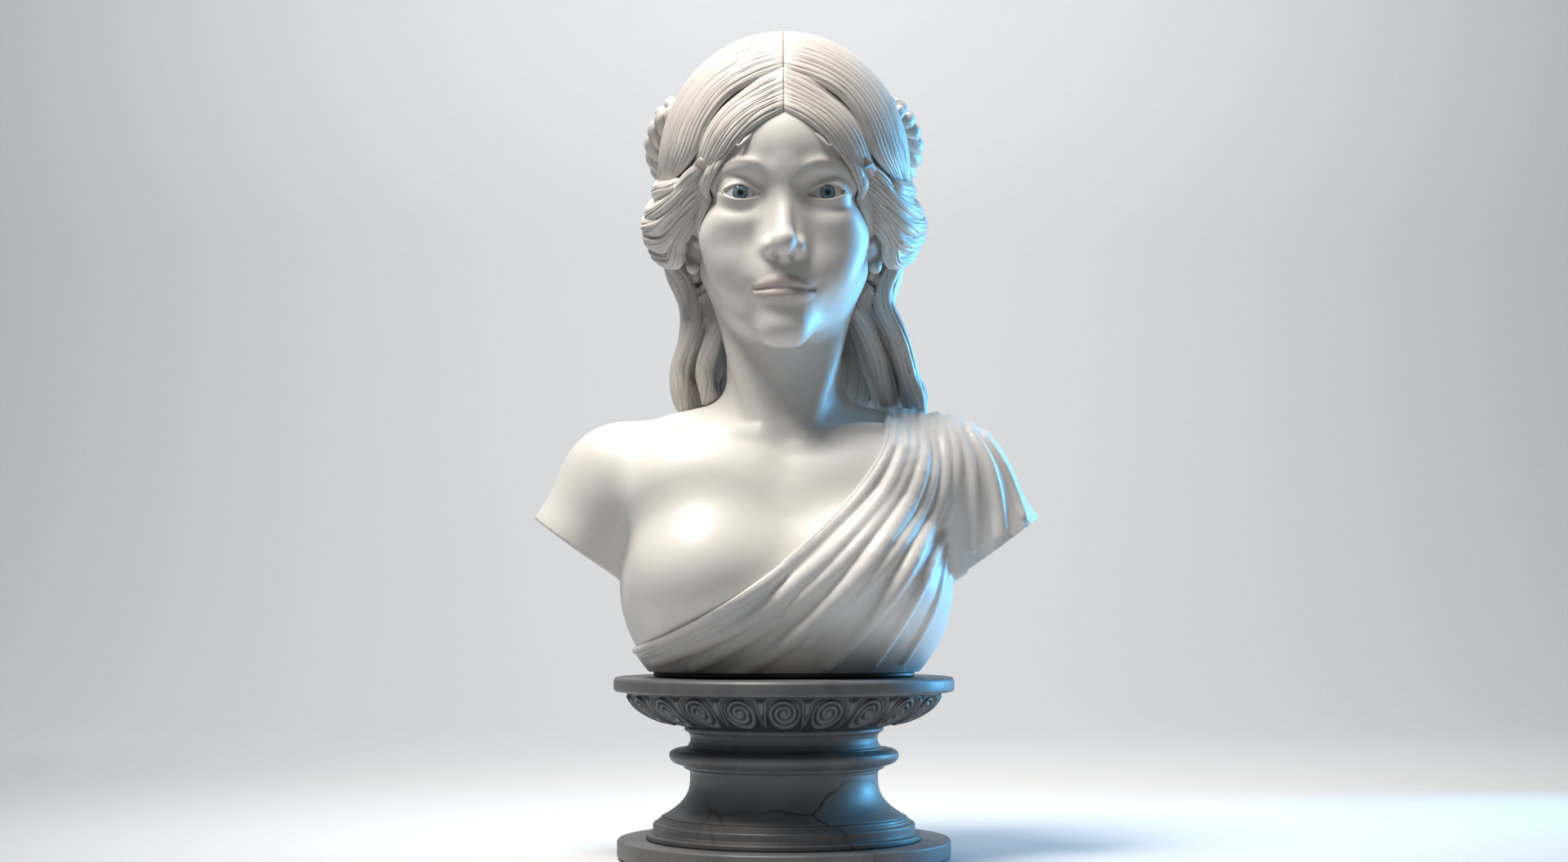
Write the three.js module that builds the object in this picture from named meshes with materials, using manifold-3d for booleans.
// A life-size marble bust of a draped woman on a turned stone socle.
// Millimetres, +Z up, the face towards -Y, origin at the middle of the socle's underside.
// The socle is a stack of turned stones clamped by a steel rod. The bust stands on a slate seat
// plate and turns on the rod's plain upper end, which runs in a brass bush set into the torso.

import * as THREE from "three";
import { mergeVertices } from "three/addons/utils/BufferGeometryUtils.js";
import Module from "manifold-3d";

const wasm = await Module();
wasm.setup();

// ---- Driving dimensions -------------------------------------------------------------------------

const GAP = 0.3; // clearance between carved stones that are fitted to each other
const TURNED_SIDES = 36; // flats on a turned stone
const SMALL_SIDES = 16; // flats on a washer or dowel
const FIT_SIDES = 32; // flats on the rod and on the bush that turns on it

const PLINTH_RADIUS = 121;
const CAP_RADIUS = 124;
const FRIEZE_RADIUS = 114.6;
const NECKING_RADIUS = 68;
const KNOP_RADIUS = 83.6;
const SHAFT_RADIUS = 68.6;

// Heights of the joints between the stacked stones.
const FELT_TOP = 1.5;
const PLINTH_TOP = 14;
const FOOT_TOP = 30;
const SHAFT_TOP = 62;
const KNOP_TOP = 84.5;
const NECKING_TOP = 95;
const FRIEZE_TOP = 120;
const CAP_TOP = 130.5;
const WASHER_TOP = 131.3;
const SEAT_TOP = 134.3;
const NECK_JOINT = 340;

const ROD_RADIUS = 5;
const ROD_HOLE_RADIUS = 5.6;
const ROD_TOP = 184;
const BUSH_BORE_RADIUS = 5.1;
const BUSH_RADIUS = 8;
const BUSH_TOP = 188;
const NUT_RECESS_RADIUS = 17;
const NUT_ACROSS_CORNERS = 9.8;
const RECESS_DEPTH = 11;
const DOWEL_RADIUS = 6;
const DOWEL_HALF_LENGTH = 32;

const EYE_LINE = 474;
const EYE_APART = 31; // half the distance between the pupils
const EYE_RADIUS = 12.2;
const EYE_DEPTH = -66;
const DRAPE_THICKNESS = 5;

// ---- Materials ----------------------------------------------------------------------------------

const paint = (color, roughness, metalness = 0) =>
  new THREE.MeshStandardMaterial({ color, roughness, metalness });

const figureMarble = paint(0xe9e3dc, 0.28);
const hairMarble = paint(0xdcd3c8, 0.42);
const drapeMarble = paint(0xe4ddd5, 0.34);
const eyeStone = paint(0x9fb0b8, 0.15);
const darkStone = paint(0x55585a, 0.45);
const veinedStone = paint(0x63666a, 0.4);
const slate = paint(0x141415, 0.4);
const steel = paint(0x9a9da0, 0.35, 1);
const brass = paint(0xb58d45, 0.35, 1);
const felt = paint(0x2c3b2f, 0.95);

// ---- Solids -------------------------------------------------------------------------------------

// Turns a closed geometry into a solid that can be joined and cut.
function solidOf(geometry) {
  const bare = geometry.clone();
  bare.deleteAttribute("normal");
  bare.deleteAttribute("uv");
  const merged = mergeVertices(bare, 1e-4);
  return new wasm.Manifold(
    new wasm.Mesh({
      numProp: 3,
      vertProperties: merged.attributes.position.array,
      triVerts: new Uint32Array(merged.index.array),
    }),
  );
}

// Turns a solid back into a geometry that a mesh can show.
function geometryOf(solid) {
  const mesh = solid.getMesh();
  const geometry = new THREE.BufferGeometry();
  geometry.setAttribute("position", new THREE.BufferAttribute(mesh.vertProperties, 3));
  geometry.setIndex(new THREE.BufferAttribute(mesh.triVerts, 1));
  geometry.computeVertexNormals();
  return geometry;
}

const join = (solids) => solids.reduce((whole, next) => whole.add(next));
const cut = (solid, tools) => tools.reduce((left, tool) => left.subtract(tool), solid);

// A profile of [radius, height] pairs turned about the vertical axis.
function turned(profile, sides = TURNED_SIDES) {
  const points = profile.map(([radius, height]) => new THREE.Vector2(radius, height));
  const geometry = new THREE.LatheGeometry(points, sides);
  return geometry.rotateX(Math.PI / 2);
}

// A turned ring: the outer profile from bottom to top, closed along a bore of one radius.
function turnedRing(outer, bore, sides = TURNED_SIDES) {
  const bottom = outer[0][1];
  const top = outer[outer.length - 1][1];
  return turned([[bore, bottom], ...outer, [bore, top], [bore, bottom]], sides);
}

// An ellipsoid by its centre and radii, grown on all sides by grow.
function ellipsoid(centre, radii, grow = 0, across = 16, down = 10) {
  const geometry = new THREE.SphereGeometry(1, across, down);
  geometry.scale(...radii.map((radius) => radius + grow));
  return solidOf(geometry.translate(...centre));
}

// Rounds a closed shape through horizontal egg-shaped rings, each with its height z, half width,
// front and back reach from the Y origin, and the x of its middle.
function loft(rings, grow = 0, sides = 20) {
  const positions = [];
  const faces = [];
  rings.forEach(({ z, half, front, back, x = 0, middle = 0 }, level) => {
    const rise = level === 0 ? -grow : level === rings.length - 1 ? grow : 0;
    for (let i = 0; i < sides; i += 1) {
      const angle = (2 * Math.PI * i) / sides;
      const reach = Math.sin(angle) < 0 ? middle - front + grow : back - middle + grow;
      positions.push(x + (half + grow) * Math.cos(angle), middle + reach * Math.sin(angle), z + rise);
    }
  });
  for (let level = 0; level + 1 < rings.length; level += 1) {
    for (let i = 0; i < sides; i += 1) {
      const a = level * sides + i;
      const b = level * sides + ((i + 1) % sides);
      faces.push(a, b, b + sides, a, b + sides, a + sides);
    }
  }
  const last = (rings.length - 1) * sides;
  for (let i = 1; i + 1 < sides; i += 1) {
    faces.push(0, i + 1, i);
    faces.push(last, last + i, last + i + 1);
  }
  const geometry = new THREE.BufferGeometry();
  geometry.setAttribute("position", new THREE.Float32BufferAttribute(positions, 3));
  geometry.setIndex(faces);
  return solidOf(geometry);
}

// A slab cut to an outline of [x, z] points, running along Y between two depths.
function frontSlab(outline, fromY, toY) {
  const shape = new THREE.Shape(outline.map(([x, z]) => new THREE.Vector2(x, z)));
  const geometry = new THREE.ExtrudeGeometry(shape, { depth: toY - fromY, bevelEnabled: false });
  return solidOf(geometry.rotateX(Math.PI / 2).translate(0, toY, 0));
}

// A round bar along a smooth curve through the points.
function bar(points, radius, steps, sides = 8) {
  const circle = new THREE.Shape();
  circle.absarc(0, 0, radius, 0, 2 * Math.PI);
  const path = new THREE.CatmullRomCurve3(points.map((point) => new THREE.Vector3(...point)));
  const options = { steps, curveSegments: sides / 2, bevelEnabled: false, extrudePath: path };
  return solidOf(new THREE.ExtrudeGeometry(circle, options));
}

// A plain vertical cylinder between two heights.
const post = (radius, from, to, sides = SMALL_SIDES) =>
  turned([[0, from], [radius, from], [radius, to], [0, to]], sides);

// ---- Socle: turned stones on a steel rod --------------------------------------------------------

const feltPad = () => post(PLINTH_RADIUS - 4, 0, FELT_TOP, TURNED_SIDES);

function plinthDisc() {
  const edge = 1.6;
  const body = [
    [PLINTH_RADIUS - edge, FELT_TOP],
    [PLINTH_RADIUS, FELT_TOP + edge],
    [PLINTH_RADIUS, PLINTH_TOP - edge],
    [PLINTH_RADIUS - edge, PLINTH_TOP],
  ];
  const disc = solidOf(turnedRing(body, ROD_HOLE_RADIUS));
  const recess = solidOf(post(NUT_RECESS_RADIUS, FELT_TOP - 1, FELT_TOP + RECESS_DEPTH - 2));
  return geometryOf(disc.subtract(recess));
}

const footMoulding = () =>
  turnedRing(
    [
      [100, PLINTH_TOP],
      [100, 18],
      [95, 19.5],
      [95, 25.5],
      [91, 28],
      [88.5, FOOT_TOP],
    ],
    ROD_HOLE_RADIUS,
  );

// The shaft's side is a quarter of an ellipse, hollow outwards, from the foot to the knop.
function scotiaShaft() {
  const flare = 88 - SHAFT_RADIUS;
  const rise = 26;
  const side = [];
  for (let step = 0; step <= 8; step += 1) {
    const angle = (Math.PI / 2) * (step / 8);
    side.push([SHAFT_RADIUS + flare * (1 - Math.sin(angle)), FOOT_TOP + rise * (1 - Math.cos(angle))]);
  }
  return turnedRing([...side, [SHAFT_RADIUS, SHAFT_TOP]], ROD_HOLE_RADIUS);
}

function knopRing() {
  const middle = 74.5;
  const reach = 7.5;
  const roll = [];
  for (let step = 0; step <= 6; step += 1) {
    const angle = -Math.PI / 2 + Math.PI * (step / 6);
    roll.push([KNOP_RADIUS - reach + reach * Math.cos(angle), middle + 6 * Math.sin(angle)]);
  }
  const below = [[SHAFT_RADIUS + 2, SHAFT_TOP], [73, 64.5], [73, 67]];
  const above = [[73, 82], [70, KNOP_TOP]];
  return turnedRing([...below, ...roll, ...above], ROD_HOLE_RADIUS);
}

const neckingRing = () =>
  turnedRing(
    [
      [70, KNOP_TOP],
      [NECKING_RADIUS, 87],
      [NECKING_RADIUS + 1, 90.5],
      [72.5, 92],
      [72.5, NECKING_TOP],
    ],
    ROD_HOLE_RADIUS,
  );

// The frieze bowl is a quarter round under the cap: a flat soffit that swells to an upright band.
function friezeBowl() {
  const soffit = 78;
  const height = 18;
  const round = [];
  for (let step = 0; step <= 8; step += 1) {
    const angle = (Math.PI / 2) * (step / 8);
    round.push([
      soffit + (FRIEZE_RADIUS - soffit) * Math.sin(angle),
      NECKING_TOP + height * (1 - Math.cos(angle)),
    ]);
  }
  return turnedRing([...round, [FRIEZE_RADIUS, FRIEZE_TOP]], ROD_HOLE_RADIUS);
}

function capSlab() {
  const middle = (FRIEZE_TOP + CAP_TOP) / 2;
  const round = (CAP_TOP - FRIEZE_TOP) / 2;
  const edge = [];
  for (let step = 0; step <= 6; step += 1) {
    const angle = -Math.PI / 2 + Math.PI * (step / 6);
    edge.push([CAP_RADIUS - round + round * Math.cos(angle), middle + round * Math.sin(angle)]);
  }
  const slab = solidOf(turnedRing(edge, ROD_HOLE_RADIUS));
  const recess = solidOf(post(NUT_RECESS_RADIUS, CAP_TOP - RECESS_DEPTH + 3, CAP_TOP + 1));
  return geometryOf(slab.subtract(recess));
}

const clampWasher = (bottom) =>
  turnedRing([[NUT_RECESS_RADIUS - 2, bottom], [NUT_RECESS_RADIUS - 2, bottom + 1.5]], ROD_RADIUS + GAP, SMALL_SIDES);

const clampNut = (bottom, height) =>
  solidOf(post(NUT_ACROSS_CORNERS, bottom, bottom + height, 6)).subtract(
    solidOf(post(ROD_RADIUS + GAP, bottom - 1, bottom + height + 1)),
  );

const pivotBush = () =>
  turnedRing([[BUSH_RADIUS, SEAT_TOP], [BUSH_RADIUS, BUSH_TOP]], BUSH_BORE_RADIUS, FIT_SIDES);

const thrustWasher = () =>
  turnedRing([[40, CAP_TOP], [40, WASHER_TOP]], NUT_RECESS_RADIUS + 2, TURNED_SIDES);

// ---- Figure: torso, neck and head ---------------------------------------------------------------

const torsoRings = [
  { z: SEAT_TOP, half: 97, front: -70, back: 56 },
  { z: 150, half: 109, front: -80, back: 64 },
  { z: 170, half: 117, front: -86, back: 71 },
  { z: 200, half: 121, front: -84, back: 78 },
  { z: 235, half: 121, front: -76, back: 82 },
  { z: 265, half: 126, front: -66, back: 82 },
  { z: 290, half: 128, front: -54, back: 78 },
  { z: 306, half: 120, front: -44, back: 71 },
  { z: 317, half: 104, front: -40, back: 66 },
  { z: 328, half: 80, front: -37, back: 62 },
  { z: NECK_JOINT, half: 54, front: -36, back: 58 },
];

const ARM_CUT = { normal: [0.588, 0, 0.809], offset: 91.1 };

// One shoulder with its stump of arm, sawn off square to the arm. side is -1 or 1 along X.
function shoulder(side, grow) {
  const deltoid = ellipsoid([side * 122, 10, 272], [45, 42, 42], grow);
  const arm = new THREE.CapsuleGeometry(38 + grow, 110, 3, 16);
  arm.rotateX(Math.PI / 2).rotateY(side * -0.5);
  arm.translate(side * 150, 8, 232);
  const [nx, ny, nz] = ARM_CUT.normal;
  return join([deltoid, solidOf(arm)]).trimByPlane([-side * nx, ny, nz], ARM_CUT.offset - grow);
}

// The two breasts with the soft ground between them.
const bosom = (grow) =>
  join([
    ellipsoid([-54, -52, 205], [62, 47, 55], grow),
    ellipsoid([54, -52, 205], [62, 47, 55], grow),
    ellipsoid([0, -50, 218], [62, 38, 62], grow),
  ]);

// The whole torso down to the seat plate, grown on all sides by grow for fitting the pieces round it.
function torsoForm(grow = 0) {
  const parts = [loft(torsoRings, grow, 28), bosom(grow), shoulder(-1, grow), shoulder(1, grow)];
  return join(parts).trimByPlane([0, 0, 1], SEAT_TOP);
}

function torso() {
  const bushHole = solidOf(post(BUSH_RADIUS + GAP, SEAT_TOP - 1, BUSH_TOP + GAP, FIT_SIDES));
  const dowelHole = solidOf(post(DOWEL_RADIUS + GAP, NECK_JOINT - DOWEL_HALF_LENGTH - GAP, NECK_JOINT + 5));
  const flush = torsoForm().trimByPlane([0, 0, -1], -NECK_JOINT);
  return cut(flush, [bushHole, dowelHole]);
}

const neckRings = [
  { z: NECK_JOINT + GAP, half: 53, front: -36, back: 57 },
  { z: 352, half: 44, front: -39, back: 53 },
  { z: 372, half: 43, front: -40, back: 50 },
  { z: 440, half: 46, front: -44, back: 60 },
];

const noseRings = [
  { z: EYE_LINE - 50, half: 9, front: -90, back: -60, middle: -72 },
  { z: EYE_LINE - 45, half: 15, front: -101, back: -60, middle: -78 },
  { z: EYE_LINE - 36, half: 14, front: -106, back: -60, middle: -78 },
  { z: EYE_LINE - 20, half: 9, front: -98, back: -60, middle: -76 },
  { z: EYE_LINE + 8, half: 7, front: -86, back: -60, middle: -74 },
];

// Head and neck down to the joint at the base of the neck.
function headForm(grow = 0) {
  const parts = [
    loft(neckRings, grow, 20),
    loft(noseRings, grow, 10),
    ellipsoid([0, 8, EYE_LINE + 24], [73, 95, 86], grow),
    ellipsoid([0, -16, EYE_LINE - 36], [63, 68, 70], grow),
    ellipsoid([0, -40, EYE_LINE - 78], [40, 42, 32], grow, 14, 8),
  ];
  for (const side of [-1, 1]) {
    parts.push(ellipsoid([side * 68, 8, EYE_LINE - 14], [9, 17, 30], grow, 10, 6));
  }
  return join(parts);
}

function head() {
  const eyes = [-1, 1].map((side) => eyeBall(side, GAP));
  const dowelHole = solidOf(post(DOWEL_RADIUS + GAP, NECK_JOINT - 5, NECK_JOINT + DOWEL_HALF_LENGTH + GAP));
  return cut(headForm(), [...eyes, dowelHole]);
}

const eyeBall = (side, grow = 0) =>
  ellipsoid([side * EYE_APART, EYE_DEPTH, EYE_LINE], [EYE_RADIUS, EYE_RADIUS, EYE_RADIUS], grow, 12, 8);

const neckDowel = () =>
  post(DOWEL_RADIUS, NECK_JOINT - DOWEL_HALF_LENGTH, NECK_JOINT + DOWEL_HALF_LENGTH);

// ---- Drapery: a mantle from the left shoulder down across the chest and back ---------------------

// The mantle's upper edge, seen from the front, from the left shoulder to the right hip.
const mantleOutline = [
  [70, 352],
  [76, 310],
  [66, 286],
  [46, 256],
  [23, 231],
  [0, 211],
  [-34, 186],
  [-62, 171],
  [-97, 155],
  [-150, 138],
  [-150, 120],
  [240, 120],
  [240, 352],
];

const mantleForm = (grow) => torsoForm(grow).intersect(frontSlab(mantleOutline, -180, 180));

function mantle() {
  const shell = mantleForm(DRAPE_THICKNESS).subtract(torsoForm(GAP));
  return cut(shell, [solidOf(post(60, 330, 400)), headForm(GAP + 0.5)]);
}

// ---- Hair ---------------------------------------------------------------------------------------

// The opening in the hair for the face, seen from the front.
const faceWindow = [
  [0, 528],
  [17, 520],
  [31, 506],
  [48, 487],
  [60, 469],
  [65, 448],
  [67, 425],
  [67, 330],
  [-67, 330],
  [-67, 425],
  [-65, 448],
  [-60, 469],
  [-48, 487],
  [-31, 506],
  [-17, 520],
];

const capForm = (grow = 0) => ellipsoid([0, 12, 514], [86, 108, 96], grow, 22, 14);

function hairCap() {
  const shell = cut(capForm(), [headForm(GAP), frontSlab(faceWindow, -150, -14)]);
  return shell.trimByPlane([0, 0, 1], 448);
}

// The rolled wave of hair over one ear.
function rollForm(side, grow = 0) {
  const roll = new THREE.SphereGeometry(1, 16, 10);
  roll.scale(27 + grow, 46 + grow, 40 + grow);
  roll.rotateY(side * 0.25);
  return solidOf(roll.translate(side * 80, 4, 482));
}

const hairRoll = (side) => cut(rollForm(side), [capForm(GAP), headForm(GAP)]);

// The braid runs round the back of the head from temple to temple.
function braidPath() {
  const points = [];
  for (let step = 0; step <= 12; step += 1) {
    const angle = Math.PI * (step / 12);
    points.push([86 * Math.cos(angle), 2 + 112 * Math.sin(angle), 546 - 40 * Math.sin(angle)]);
  }
  return points;
}

const braidForm = (grow = 0) => bar(braidPath(), 12 + grow, 16);

const hairBraid = () =>
  cut(braidForm(), [capForm(GAP), rollForm(-1, GAP), rollForm(1, GAP), headForm(GAP)]);

// The loose hair hangs behind the neck in three tresses, by side: -1, 0 and 1.
const tressRings = {
  "-1": [
    { z: 300, x: -66, half: 8, front: 66, back: 84, middle: 75 },
    { z: 327, x: -66, half: 22, front: 44, back: 84, middle: 64 },
    { z: 358, x: -65, half: 25, front: 26, back: 84, middle: 55 },
    { z: 400, x: -60, half: 22, front: 20, back: 86, middle: 54 },
    { z: 446, x: -66, half: 26, front: 16, back: 90, middle: 54 },
    { z: 470, x: -66, half: 22, front: 24, back: 88, middle: 56 },
  ],
  0: [
    { z: 262, x: 0, half: 20, front: 78, back: 94, middle: 86 },
    { z: 300, x: 0, half: 35, front: 62, back: 98, middle: 80 },
    { z: 350, x: 0, half: 36, front: 54, back: 98, middle: 76 },
    { z: 420, x: 0, half: 36, front: 56, back: 106, middle: 82 },
    { z: 480, x: 0, half: 36, front: 70, back: 116, middle: 92 },
  ],
  1: [
    { z: 292, x: 84, half: 10, front: 72, back: 90, middle: 81 },
    { z: 322, x: 86, half: 34, front: 52, back: 90, middle: 71 },
    { z: 345, x: 80, half: 32, front: 34, back: 88, middle: 62 },
    { z: 382, x: 70, half: 27, front: 22, back: 86, middle: 54 },
    { z: 421, x: 62, half: 23, front: 18, back: 88, middle: 54 },
    { z: 446, x: 66, half: 27, front: 16, back: 90, middle: 54 },
    { z: 470, x: 66, half: 22, front: 24, back: 88, middle: 56 },
  ],
};

const tressForm = (side, grow = 0) => loft(tressRings[side], grow, 16);

function hairTress(side) {
  const around = [
    capForm(GAP),
    headForm(GAP),
    rollForm(-1, GAP),
    rollForm(1, GAP),
    braidForm(GAP),
    torsoForm(GAP),
    mantleForm(DRAPE_THICKNESS + GAP),
  ];
  if (side !== 0) around.push(tressForm(0, GAP));
  return cut(tressForm(side), around);
}

// The slate plate under the torso has the same egg-shaped outline, pierced for the rod.
function seatPlate() {
  const rings = [WASHER_TOP, SEAT_TOP].map((z) => ({ z, half: 95, front: -68, back: 54 }));
  return loft(rings, 0, 28).subtract(solidOf(post(ROD_HOLE_RADIUS, WASHER_TOP - 1, SEAT_TOP + 1)));
}

// ---- Assembly -----------------------------------------------------------------------------------

const bust = new THREE.Group();
const socle = new THREE.Group();
const figure = new THREE.Group();
bust.add(socle, figure);

// Adds one named piece. A solid cut from its neighbours keeps only its largest body.
function add(group, name, shape, material) {
  const mesh = new THREE.Mesh(shape.isBufferGeometry ? shape : geometryOf(largest(shape)), material);
  mesh.name = name;
  group.add(mesh);
}

const largest = (solid) =>
  solid.decompose().reduce((kept, next) => (next.volume() > kept.volume() ? next : kept));

add(socle, "felt_pad", feltPad(), felt);
add(socle, "plinth_disc", plinthDisc(), darkStone);
add(socle, "foot_moulding", footMoulding(), darkStone);
add(socle, "scotia_shaft", scotiaShaft(), veinedStone);
add(socle, "knop_ring", knopRing(), darkStone);
add(socle, "necking_ring", neckingRing(), darkStone);
add(socle, "frieze_bowl", friezeBowl(), darkStone);
add(socle, "cap_slab", capSlab(), darkStone);
add(socle, "tie_rod", post(ROD_RADIUS, 2, ROD_TOP, FIT_SIDES), steel);
add(socle, "lower_washer", clampWasher(FELT_TOP + 7.4), steel);
add(socle, "lower_nut", clampNut(FELT_TOP + 1, 6.3), steel);
add(socle, "upper_washer", clampWasher(CAP_TOP - 7.9), steel);
add(socle, "upper_nut", clampNut(CAP_TOP - 6.3, 6), steel);
add(socle, "thrust_washer", thrustWasher(), brass);

add(figure, "seat_plate", seatPlate(), slate);
add(figure, "pivot_bush", pivotBush(), brass);
add(figure, "torso", torso(), figureMarble);
add(figure, "neck_dowel", neckDowel(), steel);
add(figure, "head", head(), figureMarble);
add(figure, "eye_right", eyeBall(-1), eyeStone);
add(figure, "eye_left", eyeBall(1), eyeStone);
add(figure, "mantle", mantle(), drapeMarble);
add(figure, "hair_cap", hairCap(), hairMarble);
add(figure, "hair_roll_right", hairRoll(-1), hairMarble);
add(figure, "hair_roll_left", hairRoll(1), hairMarble);
add(figure, "hair_braid", hairBraid(), hairMarble);
add(figure, "hair_tress_right", hairTress(-1), hairMarble);
add(figure, "hair_tress_back", hairTress(0), hairMarble);
add(figure, "hair_tress_left", hairTress(1), hairMarble);

export default bust;
